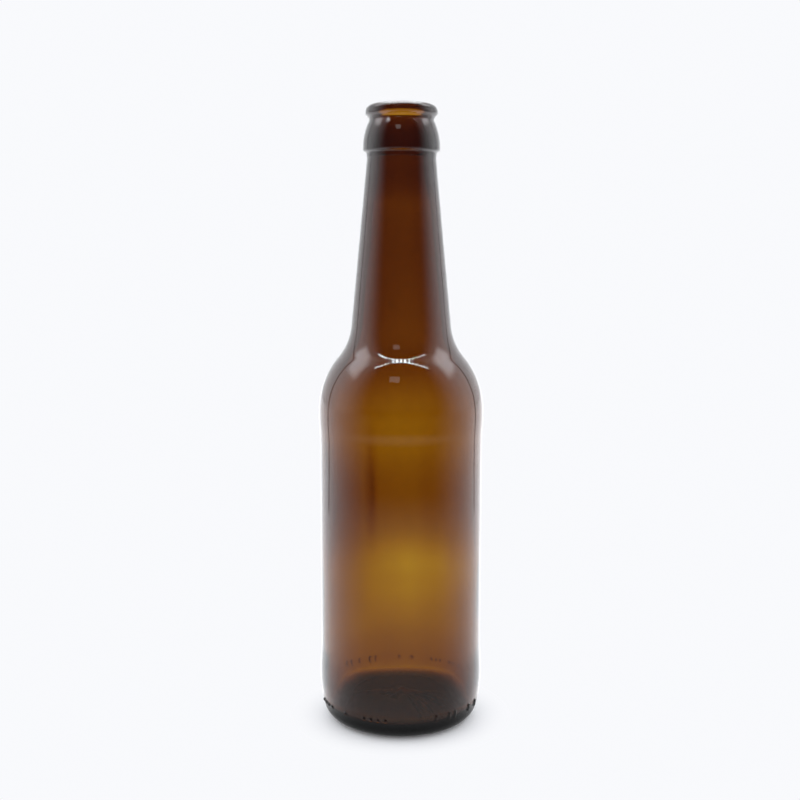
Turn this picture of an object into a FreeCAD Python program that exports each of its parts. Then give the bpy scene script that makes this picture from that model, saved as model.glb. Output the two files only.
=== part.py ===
"""Long-neck glass beer bottle, 330 ml, with a 26 mm crown finish.

One piece of blown glass, modelled as one PartDesign body in millimetres. +Z is up, and the
origin is at the middle of the bearing ring, on the surface that the bottle stands on.

How the body is built:
  glass_outline    the outer form from the push-up to the top of the neck, turned about Z
  finish_outline   the crown finish: reinforcing ring, locking groove and lip, turned about Z
  finish rounds    the small moulded radii of the finish
  cavity_outline   the hollow from the floor to the mouth, turned and cut out
  mouth_round      the rounded edge where the bore meets the sealing face
"""

import FreeCAD, Part
import math
import os

import Sketcher

# Driving sizes in millimetres, with one angle in degrees. The label panel takes up what the
# heel, the shoulder and the neck leave of the overall height.
SIZES = {
    # overall
    "overall_height": 230.0,
    "body_diameter": 61.6,
    # base and heel
    "push_up_depth": 3.5,
    "bearing_width": 2.2,
    "heel_corner_radius": 6.7,
    "heel_taper_radius": 53.0,
    "heel_band_height": 17.8,
    # label panel, set back between the heel band and the shoulder band
    "label_recess": 0.45,
    "panel_foot_rise": 8.4,
    "panel_head_rise": 10.4,
    # shoulder and neck
    "shoulder_band_height": 1.7,
    "shoulder_drop": 112.1,
    "shoulder_radius": 31.7,
    "flare_radius": 20.8,
    "neck_taper_angle": 5.5,
    # crown finish, from the sealing face down
    "lip_diameter": 26.6,
    "lip_height": 3.1,
    "lip_underside_height": 1.9,
    "ring_overhang": 0.9,
    "ring_skirt_height": 10.3,
    "ring_skirt_radius": 22.0,
    "ring_band_height": 1.4,
    "ring_bevel_height": 0.7,
    "ring_root_height": 1.0,
    "ring_root_setback": 1.33,
    "neck_step": 0.12,
    # rounds of the finish
    "lip_top_round": 2.4,
    "lip_lower_round": 0.5,
    "groove_round": 1.4,
    "ring_edge_round": 1.3,
    "ring_root_round": 0.5,
    # inside
    "body_wall": 2.4,
    "neck_foot_wall": 3.9,
    "base_thickness": 4.0,
    "inner_heel_radius": 6.0,
    "inner_shoulder_radius": 29.0,
    "bore_diameter": 16.4,
    "bore_length": 18.0,
    "bore_blend_radius": 60.0,
    "mouth_round": 0.9,
}

# The cavity's sketch runs this far past the lip, so that the cut leaves the mouth open.
MOUTH_OVERRUN = 2.0
# Two edges closer than this are at the same height.
SAME_HEIGHT = 0.001

# The finish's heights in order from the sealing face down to the top of the neck.
FINISH_STACK = (
    "lip_height",
    "lip_underside_height",
    "ring_skirt_height",
    "ring_band_height",
    "ring_bevel_height",
    "ring_root_height",
)
# Where each round's wall is too small for it, the most that the round may take of that wall.
ROUND_LIMITS = {
    "lip_top_round": "min(0.8 * sizes.lip_height; 0.3 * (sizes.lip_diameter - sizes.bore_diameter))",
    "lip_lower_round": "0.25 * sizes.lip_height",
    "groove_round": "0.9 * sizes.lip_underside_height",
    "ring_edge_round": "1.2 * sizes.ring_band_height",
    "ring_root_round": "0.8 * sizes.ring_root_height",
    "mouth_round": "0.15 * (sizes.lip_diameter - sizes.bore_diameter)",
}

# What the sheet gives for places that more than one outline uses.
BODY_REACH = "sizes.body_diameter / 2"
PANEL_REACH = f"{BODY_REACH} - sizes.label_recess"
BAND_FOOT = "sizes.overall_height - sizes.shoulder_drop - sizes.shoulder_band_height"
LIP_REACH = "sizes.lip_diameter / 2"
RING_REACH = f"{LIP_REACH} + sizes.ring_overhang"
ROOT_REACH = f"{RING_REACH} - sizes.ring_root_setback"
FINISH_FOOT = " - ".join(["sizes.overall_height"] + [f"sizes.{name}" for name in FINISH_STACK])

# Sketcher's own numbers for an edge's two ends and its centre, and for the sketch's axes.
START, END, CENTRE = 1, 2, 3
LEVEL_AXIS, TURN_AXIS = -1, -2


def add_sheet(document):
    """Writes the driving sizes into the spreadsheet that every sketch and feature reads."""
    sheet = document.addObject("Spreadsheet::Sheet", "sizes")
    for row, (name, value) in enumerate(SIZES.items(), start=1):
        sheet.set(f"A{row}", name)
        sheet.set(f"B{row}", str(value))
        sheet.setAlias(f"B{row}", name)
    document.recompute()


def toward(point, other, distance):
    """The point a given distance from one point, in the direction of another."""
    whole = math.dist(point, other)
    return tuple(a + (b - a) * distance / whole for a, b in zip(point, other))


def shallow_bend(first, second):
    """Radius of two equal arcs that carry an upright wall sideways from one point to another."""
    shift, rise = abs(second[0] - first[0]), abs(second[1] - first[1])
    return (shift**2 + rise**2) / (4 * shift)


class Outline:
    """A closed half-section in the XZ plane, drawn edge by edge from the axis round to the axis.

    The edges are drawn near their places. Constraints bound to the sheet then fix them.
    """

    def __init__(self, body, name):
        self.sketch = body.newObject("Sketcher::SketchObject", name)
        plane = next(item for item in body.Origin.OriginFeatures if item.Role == "XZ_Plane")
        self.sketch.AttachmentSupport = [(plane, "")]
        self.sketch.MapMode = "FlatFace"
        self.edges = {}
        self.points = []
        self.constraints = []
        self.expressions = {}

    def constrain(self, *definition):
        """Notes one constraint and returns its index."""
        self.constraints.append(Sketcher.Constraint(*definition))
        return len(self.constraints) - 1

    def bind(self, expression, *definition):
        """Notes a dimension that follows an expression on the sheet."""
        value = self.sketch.evalExpression(expression)
        index = self.constrain(*definition, getattr(value, "Value", value))
        self.expressions[index] = expression

    def add_edge(self, name, geometry, forward, smooth):
        """Adds an edge that begins where the edge before it finishes."""
        index = self.sketch.addGeometry(geometry, False)
        begin, finish = (START, END) if forward else (END, START)
        if self.edges:
            before = list(self.edges.values())[-1]
            kind = "Tangent" if smooth else "Coincident"
            self.constrain(kind, *before["finish"], index, begin)
        ends = {"begin": (index, begin), "finish": (index, finish)}
        self.edges[name] = {**ends, "centre": (index, CENTRE)}

    def line(self, name, first, second, smooth=False):
        """Draws a straight edge from one point to another."""
        self.points += [first, second]
        ends = [FreeCAD.Vector(*point, 0) for point in (first, second)]
        self.add_edge(name, Part.LineSegment(*ends), True, smooth)

    def arc(self, name, centre, radius, first, second, smooth=True):
        """Draws a round edge from one point to another, the short way about its centre."""
        self.points += [first, second]
        begin, finish = (math.atan2(p[1] - centre[1], p[0] - centre[0]) for p in (first, second))
        turn = (finish - begin + math.pi) % (2 * math.pi) - math.pi
        low = min(begin, begin + turn)
        circle = Part.Circle(FreeCAD.Vector(*centre, 0), FreeCAD.Vector(0, 0, 1), radius)
        self.add_edge(name, Part.ArcOfCircle(circle, low, low + abs(turn)), turn > 0, smooth)

    def radius(self, name, expression):
        """Fixes an arc's radius."""
        self.bind(expression, "Radius", self.edges[name]["centre"][0])

    def reach(self, name, place, expression):
        """Fixes how far an edge's end or centre is from the axis."""
        self.bind(expression, "DistanceX", LEVEL_AXIS, START, *self.edges[name][place])

    def height(self, name, place, expression):
        """Fixes how high an edge's end or centre is above the bearing ring."""
        self.bind(expression, "DistanceY", LEVEL_AXIS, START, *self.edges[name][place])

    def length(self, name, expression):
        """Fixes the length of a level edge."""
        edge = self.edges[name]
        self.bind(expression, "DistanceX", *edge["begin"], *edge["finish"])

    def rise(self, name, expression):
        """Fixes how far an edge climbs from its beginning to its finish."""
        edge = self.edges[name]
        self.bind(expression, "DistanceY", *edge["begin"], *edge["finish"])

    def lean(self, name, expression):
        """Fixes a straight edge's angle from the level axis."""
        angle = math.radians(self.sketch.evalExpression(expression))
        self.expressions[self.constrain("Angle", self.edges[name]["begin"][0], angle)] = expression

    def level(self, *names):
        """Keeps straight edges square to the axis."""
        for name in names:
            self.constrain("Horizontal", self.edges[name]["begin"][0])

    def upright(self, *names):
        """Keeps straight edges parallel to the axis."""
        for name in names:
            self.constrain("Vertical", self.edges[name]["begin"][0])

    def equal(self, first, second):
        """Keeps two arcs at the same radius."""
        self.constrain("Equal", self.edges[first]["centre"][0], self.edges[second]["centre"][0])

    def on_axis(self, name, place):
        """Holds an edge's end or centre on the axis."""
        self.constrain("PointOnObject", *self.edges[name][place], TURN_AXIS)

    def close(self):
        """Draws the edge along the axis and checks that the sheet then fixes every edge."""
        names = list(self.edges)
        self.on_axis(names[0], "begin")
        self.on_axis(names[-1], "finish")
        self.line("axis", self.points[-1], self.points[0])
        self.constrain("Coincident", *self.edges["axis"]["finish"], *self.edges[names[0]]["begin"])
        self.sketch.addConstraint(self.constraints)
        for index, expression in self.expressions.items():
            self.sketch.setExpression(f"Constraints[{index}]", expression)
        self.sketch.Document.recompute()
        if self.sketch.solve() != 0 or not self.sketch.FullyConstrained:
            raise RuntimeError(f"{self.sketch.Name} is not fully fixed by the sheet")

    def publish(self, reading, kind, name, place):
        """Names a measured reach, height or radius of an arc, for a later sketch to follow."""
        index = self.edges[name][place][0]
        arc = self.sketch.Geometry[index]
        values = {"DistanceX": arc.Center.x, "DistanceY": arc.Center.y, "Radius": arc.Radius}
        ends = () if kind == "Radius" else (LEVEL_AXIS, START)
        target = (index,) if kind == "Radius" else self.edges[name][place]
        added = self.sketch.addConstraint(Sketcher.Constraint(kind, *ends, *target, values[kind]))
        self.sketch.setDriving(added, False)
        self.sketch.renameConstraint(added, reading)


class Form:
    """Where the outlines' arcs are centred and where they touch, worked out from the sizes."""

    def __init__(self, sizes):
        self.top = sizes["overall_height"]
        self.shoulder_height = self.top - sizes["shoulder_drop"]
        self.finish_foot = self.top - sum(sizes[name] for name in FINISH_STACK)
        self.body_radius = sizes["body_diameter"] / 2
        self.panel_radius = self.body_radius - sizes["label_recess"]
        self.lip_radius = sizes["lip_diameter"] / 2
        self.ring_radius = self.lip_radius + sizes["ring_overhang"]
        self.root_radius = self.ring_radius - sizes["ring_root_setback"]
        self.bore_radius = sizes["bore_diameter"] / 2
        self.place_heel(sizes)
        self.place_flare(sizes)

    def place_heel(self, sizes):
        """Heel taper, heel corner, bearing ring and push-up."""
        corner, taper = sizes["heel_corner_radius"], sizes["heel_taper_radius"]
        rise = sizes["heel_band_height"] - corner
        self.taper_centre = (self.body_radius - taper, sizes["heel_band_height"])
        reach = self.taper_centre[0] + math.sqrt((taper - corner) ** 2 - rise**2)
        self.corner_centre = (reach, corner)
        self.corner_top = toward(self.taper_centre, self.corner_centre, taper)
        self.ring_outer = (reach, 0)
        self.ring_inner = (reach - sizes["bearing_width"], 0)
        depth = sizes["push_up_depth"]
        self.dome_radius = (self.ring_inner[0] ** 2 + depth**2) / (2 * depth)
        self.dome_centre = (0, depth - self.dome_radius)

    def place_flare(self, sizes):
        """The hollow curve between the shoulder's round and the neck's straight taper."""
        slope = math.radians(sizes["neck_taper_angle"])
        across = (math.cos(slope), math.sin(slope))
        flare, shoulder = sizes["flare_radius"], sizes["shoulder_radius"]
        self.neck_top = (self.root_radius - sizes["neck_step"], self.finish_foot)
        self.shoulder_centre = (self.body_radius - shoulder, self.shoulder_height)
        start = tuple(a + flare * b for a, b in zip(self.neck_top, across))
        away = tuple(a - b for a, b in zip(start, self.shoulder_centre))
        falling = away[0] * across[1] - away[1] * across[0]
        travel = -falling - math.sqrt(falling**2 - math.hypot(*away) ** 2 + (shoulder + flare) ** 2)
        self.flare_centre = (start[0] + travel * across[1], start[1] - travel * across[0])
        self.flare_bottom = toward(self.shoulder_centre, self.flare_centre, shoulder)
        self.neck_foot = tuple(a - flare * b for a, b in zip(self.flare_centre, across))


def glass_outline(body, form):
    """Outer half-section of the bottle, from the push-up to the top of the neck."""
    heel_band = (form.body_radius, SIZES["heel_band_height"])
    panel_foot = (form.panel_radius, heel_band[1] + SIZES["panel_foot_rise"])
    band_head = (form.body_radius, form.shoulder_height)
    band_foot = (form.body_radius, band_head[1] - SIZES["shoulder_band_height"])
    panel_head = (form.panel_radius, band_foot[1] - SIZES["panel_head_rise"])
    low, high = shallow_bend(heel_band, panel_foot), shallow_bend(panel_head, band_foot)
    heel_round, foot_bend = (heel_band[0] - low, heel_band[1]), (panel_foot[0] + low, panel_foot[1])
    head_bend, band_round = (panel_head[0] + high, panel_head[1]), (band_foot[0] - high, band_foot[1])
    low_joint, high_joint = toward(heel_round, foot_bend, low), toward(band_round, head_bend, high)

    glass = Outline(body, "glass_outline")
    apex = (0, SIZES["push_up_depth"])
    glass.arc("push_up", form.dome_centre, form.dome_radius, apex, form.ring_inner)
    glass.line("bearing_ring", form.ring_inner, form.ring_outer)
    corner, taper = SIZES["heel_corner_radius"], SIZES["heel_taper_radius"]
    glass.arc("heel_corner", form.corner_centre, corner, form.ring_outer, form.corner_top)
    glass.arc("heel_taper", form.taper_centre, taper, form.corner_top, heel_band)
    glass.arc("heel_band_round", heel_round, low, heel_band, low_joint)
    glass.arc("panel_foot_bend", foot_bend, low, low_joint, panel_foot)
    glass.line("label_panel", panel_foot, panel_head, smooth=True)
    glass.arc("panel_head_bend", head_bend, high, panel_head, high_joint)
    glass.arc("shoulder_band_round", band_round, high, high_joint, band_foot)
    glass.line("shoulder_band", band_foot, band_head, smooth=True)
    glass.arc("shoulder", form.shoulder_centre, SIZES["shoulder_radius"], band_head, form.flare_bottom)
    glass.arc("flare", form.flare_centre, SIZES["flare_radius"], form.flare_bottom, form.neck_foot)
    glass.line("neck", form.neck_foot, form.neck_top, smooth=True)
    glass.line("neck_top", form.neck_top, (0, form.neck_top[1]))

    glass.on_axis("push_up", "centre")
    glass.height("push_up", "begin", "sizes.push_up_depth")
    glass.constrain("PointOnObject", *glass.edges["push_up"]["finish"], LEVEL_AXIS)
    glass.level("bearing_ring", "neck_top")
    glass.length("bearing_ring", "sizes.bearing_width")
    glass.radius("heel_corner", "sizes.heel_corner_radius")
    glass.radius("heel_taper", "sizes.heel_taper_radius")
    glass.reach("heel_taper", "finish", BODY_REACH)
    glass.height("heel_taper", "finish", "sizes.heel_band_height")
    glass.height("heel_taper", "centre", "sizes.heel_band_height")
    glass.upright("label_panel", "shoulder_band")
    glass.equal("heel_band_round", "panel_foot_bend")
    glass.equal("panel_head_bend", "shoulder_band_round")
    glass.reach("label_panel", "begin", PANEL_REACH)
    glass.height("label_panel", "begin", "sizes.heel_band_height + sizes.panel_foot_rise")
    glass.height("label_panel", "finish", f"{BAND_FOOT} - sizes.panel_head_rise")
    glass.reach("shoulder_band", "begin", BODY_REACH)
    glass.height("shoulder_band", "begin", BAND_FOOT)
    glass.rise("shoulder_band", "sizes.shoulder_band_height")
    glass.radius("shoulder", "sizes.shoulder_radius")
    glass.radius("flare", "sizes.flare_radius")
    glass.lean("neck", "90 + sizes.neck_taper_angle")
    glass.reach("neck", "finish", f"{ROOT_REACH} - sizes.neck_step")
    glass.height("neck", "finish", FINISH_FOOT)
    glass.close()
    glass.publish("dome_radius", "Radius", "push_up", "centre")
    glass.publish("flare_reach", "DistanceX", "flare", "centre")
    glass.publish("flare_height", "DistanceY", "flare", "centre")
    return glass.sketch


def finish_outline(body, form):
    """Half-section of the crown finish, with sharp corners that the rounds then take off."""
    levels = {}
    height = form.top
    for name in FINISH_STACK:
        height -= SIZES[name]
        levels[name] = height
    lip, ring, root = form.lip_radius, form.ring_radius, form.root_radius
    lip_foot, groove_height = levels["lip_height"], levels["lip_underside_height"]
    skirt_foot, edge = levels["ring_skirt_height"], levels["ring_band_height"]
    underside, foot = levels["ring_bevel_height"], levels["ring_root_height"]
    skirt, skirt_radius = (ring - SIZES["ring_skirt_radius"], skirt_foot), SIZES["ring_skirt_radius"]
    groove_reach = skirt[0] + math.sqrt(skirt_radius**2 - SIZES["ring_skirt_height"] ** 2)
    groove = (groove_reach, groove_height)

    finish = Outline(body, "finish_outline")
    finish.line("seat", (0, foot), (root, foot))
    finish.line("ring_root", (root, foot), (root, underside))
    finish.line("ring_bevel", (root, underside), (ring, edge))
    finish.line("ring_band", (ring, edge), (ring, skirt_foot))
    finish.arc("ring_skirt", skirt, skirt_radius, (ring, skirt_foot), groove)
    finish.line("lip_underside", groove, (lip, lip_foot))
    finish.line("lip_side", (lip, lip_foot), (lip, form.top))
    finish.line("sealing_face", (lip, form.top), (0, form.top))

    finish.level("seat", "sealing_face")
    finish.upright("ring_root", "ring_band", "lip_side")
    finish.height("seat", "begin", FINISH_FOOT)
    finish.reach("ring_root", "begin", ROOT_REACH)
    finish.rise("ring_root", "sizes.ring_root_height")
    finish.rise("ring_bevel", "sizes.ring_bevel_height")
    finish.reach("ring_band", "begin", RING_REACH)
    finish.rise("ring_band", "sizes.ring_band_height")
    finish.radius("ring_skirt", "sizes.ring_skirt_radius")
    finish.rise("ring_skirt", "sizes.ring_skirt_height")
    finish.rise("lip_underside", "sizes.lip_underside_height")
    finish.reach("lip_side", "begin", LIP_REACH)
    finish.rise("lip_side", "sizes.lip_height")
    finish.close()
    return finish.sketch


def cavity_outline(body, form):
    """Half-section of the hollow, from the domed floor to just past the mouth."""
    wall = form.panel_radius - SIZES["body_wall"]
    heel, shoulder = SIZES["inner_heel_radius"], SIZES["inner_shoulder_radius"]
    flare = SIZES["flare_radius"] + SIZES["neck_foot_wall"]
    floor = form.dome_radius + SIZES["base_thickness"]
    bore, blend = form.bore_radius, SIZES["bore_blend_radius"]
    above = form.top + MOUTH_OVERRUN

    heel_rise = math.sqrt((floor + heel) ** 2 - (wall - heel) ** 2)
    heel_centre = (wall - heel, form.dome_centre[1] + heel_rise)
    floor_edge = toward(form.dome_centre, heel_centre, floor)
    shoulder_drop = math.sqrt((shoulder + flare) ** 2 - (form.flare_centre[0] - wall + shoulder) ** 2)
    shoulder_centre = (wall - shoulder, form.flare_centre[1] - shoulder_drop)
    shoulder_top = toward(shoulder_centre, form.flare_centre, shoulder)
    # The bore's blend curves the same way as the flare, so the neck's line is their outer tangent.
    blend_centre = (bore + blend, form.top - SIZES["bore_length"])
    apart = math.dist(form.flare_centre, blend_centre)
    run = (blend_centre[0] - form.flare_centre[0], blend_centre[1] - form.flare_centre[1])
    turn = math.atan2(run[1], run[0]) + math.acos((flare - blend) / apart)
    square = (math.cos(turn), math.sin(turn))
    neck_foot = tuple(a + flare * b for a, b in zip(form.flare_centre, square))
    neck_head = tuple(a + blend * b for a, b in zip(blend_centre, square))

    cavity = Outline(body, "cavity_outline")
    cavity.arc("floor", form.dome_centre, floor, (0, form.dome_centre[1] + floor), floor_edge)
    cavity.arc("inner_heel", heel_centre, heel, floor_edge, (wall, heel_centre[1]))
    cavity.line("wall", (wall, heel_centre[1]), (wall, shoulder_centre[1]), smooth=True)
    cavity.arc("inner_shoulder", shoulder_centre, shoulder, (wall, shoulder_centre[1]), shoulder_top)
    cavity.arc("inner_flare", form.flare_centre, flare, shoulder_top, neck_foot)
    cavity.line("inner_neck", neck_foot, neck_head, smooth=True)
    cavity.arc("bore_blend", blend_centre, blend, neck_head, (bore, blend_centre[1]))
    cavity.line("bore", (bore, blend_centre[1]), (bore, above), smooth=True)
    cavity.line("mouth", (bore, above), (0, above))

    cavity.on_axis("floor", "centre")
    cavity.height("floor", "begin", "sizes.push_up_depth + sizes.base_thickness")
    cavity.radius("floor", "glass_outline.Constraints.dome_radius + sizes.base_thickness * 1 mm")
    cavity.radius("inner_heel", "sizes.inner_heel_radius")
    cavity.upright("wall", "bore")
    cavity.level("mouth")
    cavity.reach("wall", "begin", f"{PANEL_REACH} - sizes.body_wall")
    cavity.radius("inner_shoulder", "sizes.inner_shoulder_radius")
    cavity.radius("inner_flare", "sizes.flare_radius + sizes.neck_foot_wall")
    cavity.reach("inner_flare", "centre", "glass_outline.Constraints.flare_reach")
    cavity.height("inner_flare", "centre", "glass_outline.Constraints.flare_height")
    cavity.radius("bore_blend", "sizes.bore_blend_radius")
    cavity.reach("bore", "begin", "sizes.bore_diameter / 2")
    cavity.height("bore", "begin", "sizes.overall_height - sizes.bore_length")
    cavity.height("bore", "finish", f"sizes.overall_height + {MOUTH_OVERRUN}")
    cavity.close()
    return cavity.sketch


def turn_about_axis(body, kind, name, sketch):
    """Turns a half-section a full circle about Z, to add glass or to cut it away."""
    feature = body.newObject(kind, name)
    feature.Profile = sketch
    feature.ReferenceAxis = (sketch, ["V_Axis"])
    feature.Angle = 360.0
    sketch.Document.recompute()
    return feature


def round_edge(body, name, reach, height):
    """Rounds the circular edge at a height, nearest to a reach, by the size of its name."""
    base = body.Tip
    circles = {}
    for number, edge in enumerate(base.Shape.Edges, start=1):
        if edge.Degenerated or not isinstance(edge.Curve, Part.Circle):
            continue
        if abs(edge.Curve.Center.z - height) < SAME_HEIGHT:
            circles[abs(edge.Curve.Radius - reach)] = f"Edge{number}"
    feature = body.newObject("PartDesign::Fillet", name)
    feature.Base = (base, [circles[min(circles)]])
    feature.setExpression("Radius", f"min(sizes.{name}; {ROUND_LIMITS[name]})")
    body.Document.recompute()
    return feature


def build_bottle(document):
    """The whole bottle, as one body."""
    form = Form(SIZES)
    lip_foot = form.top - SIZES["lip_height"]
    groove = lip_foot - SIZES["lip_underside_height"]
    ring_root = form.finish_foot + SIZES["ring_root_height"]
    ring_edge = ring_root + SIZES["ring_bevel_height"]
    body = document.addObject("PartDesign::Body", "bottle")
    body.Label = "bottle"
    turn_about_axis(body, "PartDesign::Revolution", "glass", glass_outline(body, form))
    turn_about_axis(body, "PartDesign::Revolution", "finish", finish_outline(body, form))
    round_edge(body, "ring_root_round", form.root_radius, ring_root)
    round_edge(body, "ring_edge_round", form.ring_radius, ring_edge)
    round_edge(body, "groove_round", form.lip_radius, groove)
    round_edge(body, "lip_lower_round", form.lip_radius, lip_foot)
    outside = round_edge(body, "lip_top_round", form.lip_radius, form.top)
    inside = turn_about_axis(body, "PartDesign::Groove", "cavity", cavity_outline(body, form))
    round_edge(body, "mouth_round", form.bore_radius, form.top)
    body.Placement = FreeCAD.Placement()
    document.recompute()
    brimful = outside.Shape.Volume - inside.Shape.Volume
    if brimful <= 0:
        raise RuntimeError("the cavity cut nothing out")
    print(f"brimful capacity {brimful / 1000:.1f} ml, glass {body.Shape.Volume / 1000:.1f} cm3")
    return body


def check(document, body):
    """Stops if any feature failed or if the bottle is not one sound solid."""
    for item in document.Objects:
        if {"Invalid", "Error"} & set(item.State):
            raise RuntimeError(f"{item.Name} failed: {item.State}")
    if body.Shape.isNull() or not body.Shape.isValid() or len(body.Shape.Solids) != 1:
        raise RuntimeError(f"{body.Label} is not one sound solid")


def main():
    """Builds the bottle, checks it and writes its STEP file."""
    document = FreeCAD.newDocument("beer_bottle")
    add_sheet(document)
    bottle = build_bottle(document)
    check(document, bottle)
    os.makedirs("parts", exist_ok=True)
    bottle.Shape.exportStep(f"parts/{bottle.Label}.step")


main()
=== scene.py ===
"""Brown glass beer bottle with a crown finish: its finished glass, the studio and the camera."""

import logging
import math
from dataclasses import dataclass, field
from enum import Enum
from typing import Iterable, NamedTuple

import bmesh
import bpy
from mathutils import Matrix, Vector, noise


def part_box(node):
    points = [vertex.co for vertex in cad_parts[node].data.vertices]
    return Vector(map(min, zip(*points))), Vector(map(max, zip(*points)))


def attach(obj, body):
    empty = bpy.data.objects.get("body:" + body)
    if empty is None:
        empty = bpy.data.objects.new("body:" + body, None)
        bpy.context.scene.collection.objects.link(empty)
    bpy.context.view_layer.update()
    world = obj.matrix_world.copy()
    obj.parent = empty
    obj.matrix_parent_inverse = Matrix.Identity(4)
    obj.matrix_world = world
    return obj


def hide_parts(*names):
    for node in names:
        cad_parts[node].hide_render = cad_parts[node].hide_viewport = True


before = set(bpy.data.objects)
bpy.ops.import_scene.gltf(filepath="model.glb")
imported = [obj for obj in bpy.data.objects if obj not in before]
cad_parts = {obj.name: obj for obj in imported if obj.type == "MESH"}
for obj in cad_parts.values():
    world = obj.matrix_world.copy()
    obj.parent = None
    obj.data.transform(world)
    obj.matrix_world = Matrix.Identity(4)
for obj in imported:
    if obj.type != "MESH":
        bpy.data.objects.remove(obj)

LOG = logging.getLogger("beer_bottle")
MM = 0.001
WELD = 0.001 * MM
AXIS_MARGIN = 1 * MM
LINE_END = 0.12
TURN_STEPS = 192

Point = tuple[float, float]
Window = tuple[float, float, float, float]
Colour = tuple[float, float, float, float]
Mesh = bmesh.types.BMesh
Vertex = bmesh.types.BMVert
Socket = bpy.types.NodeSocket


# Geometry for the bottle's half-section, where a point is (reach from the axis, height)


def toward(point: Point, other: Point, distance: float) -> Point:
    """The point a given distance from one point in the direction of another.

    Args:
        point: where to start.
        other: where to head for.
        distance: how far to go; negative goes the other way.

    Returns:
        The point reached.
    """
    whole = math.dist(point, other)
    return (
        point[0] + (other[0] - point[0]) * distance / whole,
        point[1] + (other[1] - point[1]) * distance / whole,
    )


def groove_round(
    skirt: Point, skirt_radius: float, groove: Point, lip_foot: Point, radius: float
) -> tuple[Point, Point, Point]:
    """The arc in the hollow corner between the ring's round skirt and the lip's sloping underside.

    Args:
        skirt: centre of the skirt's arc.
        skirt_radius: radius of the skirt's arc.
        groove: the sharp corner.
        lip_foot: the far end of the sloping underside.
        radius: radius of the round.

    Returns:
        Where the arc starts on the skirt, its centre and where it ends on the underside.
    """
    along = (Vector(lip_foot) - Vector(groove)).normalized()
    outward = Vector((along.y, -along.x))
    base = Vector(groove) + outward * radius - Vector(skirt)
    beside = base.dot(along)
    reach = skirt_radius + radius
    travel = -beside + math.sqrt(beside**2 - base.length_squared + reach**2)
    centre = Vector(skirt) + base + along * travel
    end = centre - outward * radius
    return toward(skirt, (centre.x, centre.y), skirt_radius), (centre.x, centre.y), (end.x, end.y)


def bearing_of(point: Vector) -> float:
    """Bearing of a point round the axis.

    Args:
        point: the point.

    Returns:
        The bearing in degrees, 0 at the front and positive to the right.
    """
    return math.degrees(math.atan2(point.x, -point.y))


class Pen:
    """Draws a half-section as a chain of edges by extruding and spinning its last vertex."""

    def __init__(self, mesh: Mesh, start: Point) -> None:
        """Puts the first vertex down.

        Args:
            mesh: the mesh that the chain is drawn in.
            start: the first point, in millimetres.
        """
        self.mesh = mesh
        self.tip = mesh.verts.new((start[0] * MM, 0, start[1] * MM))
        self.place = start

    def line(self, end: Point, pieces: int = 1) -> None:
        """Draws a straight edge to a point, with a short piece at each end that holds its shading.

        Args:
            end: where the edge ends, in millimetres.
            pieces: how many edges the rest is divided into.
        """
        length = math.dist(self.place, end)
        snug = min(LINE_END, length / 4)
        way = Vector((end[0] - self.place[0], 0, end[1] - self.place[1])) * (MM / length)
        for step in (snug, *[(length - 2 * snug) / pieces] * pieces, snug):
            made = bmesh.ops.extrude_vert_indiv(self.mesh, verts=[self.tip])
            self.tip = made["verts"][0]
            bmesh.ops.translate(self.mesh, verts=[self.tip], vec=way * step)
        self.place = end

    def arc(self, centre: Point, end: Point, steps: int) -> None:
        """Draws a round edge to a point, the short way about its centre.

        Args:
            centre: centre of the arc, in millimetres.
            end: where the arc ends, in millimetres.
            steps: how many edges it is divided into.
        """
        begin = math.atan2(self.place[1] - centre[1], self.place[0] - centre[0])
        finish = math.atan2(end[1] - centre[1], end[0] - centre[0])
        turn = (begin - finish + math.pi) % math.tau - math.pi
        made = bmesh.ops.spin(
            self.mesh, geom=[self.tip], cent=(centre[0] * MM, 0, centre[1] * MM),
            axis=(0, 1, 0), angle=turn, steps=steps, use_merge=False, use_duplicate=False,
        )
        self.tip = next(item for item in made["geom_last"] if isinstance(item, Vertex))
        self.place = end

    def corner(self, before: Point, corner: Point, after: Point, radius: float, steps: int) -> None:
        """Draws a straight edge towards a corner, and the round that takes the corner's place.

        Args:
            before: a point on the edge that comes in, in millimetres.
            corner: the sharp corner.
            after: a point on the edge that goes out.
            radius: radius of the round.
            steps: how many edges the round is divided into.
        """
        into = Vector(before) - Vector(corner)
        away = Vector(after) - Vector(corner)
        half = into.angle(away) / 2
        setback = radius / math.tan(half)
        middle = (into.normalized() + away.normalized()).normalized()
        centre = Vector(corner) + middle * (radius / math.sin(half))
        self.line(toward(corner, before, setback))
        self.arc((centre.x, centre.y), toward(corner, after, setback), steps)


# Shader nodes


class Grain(NamedTuple):
    """How coarse and how rough a noise is."""

    scale: float
    detail: float
    roughness: float = 0.5


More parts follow.
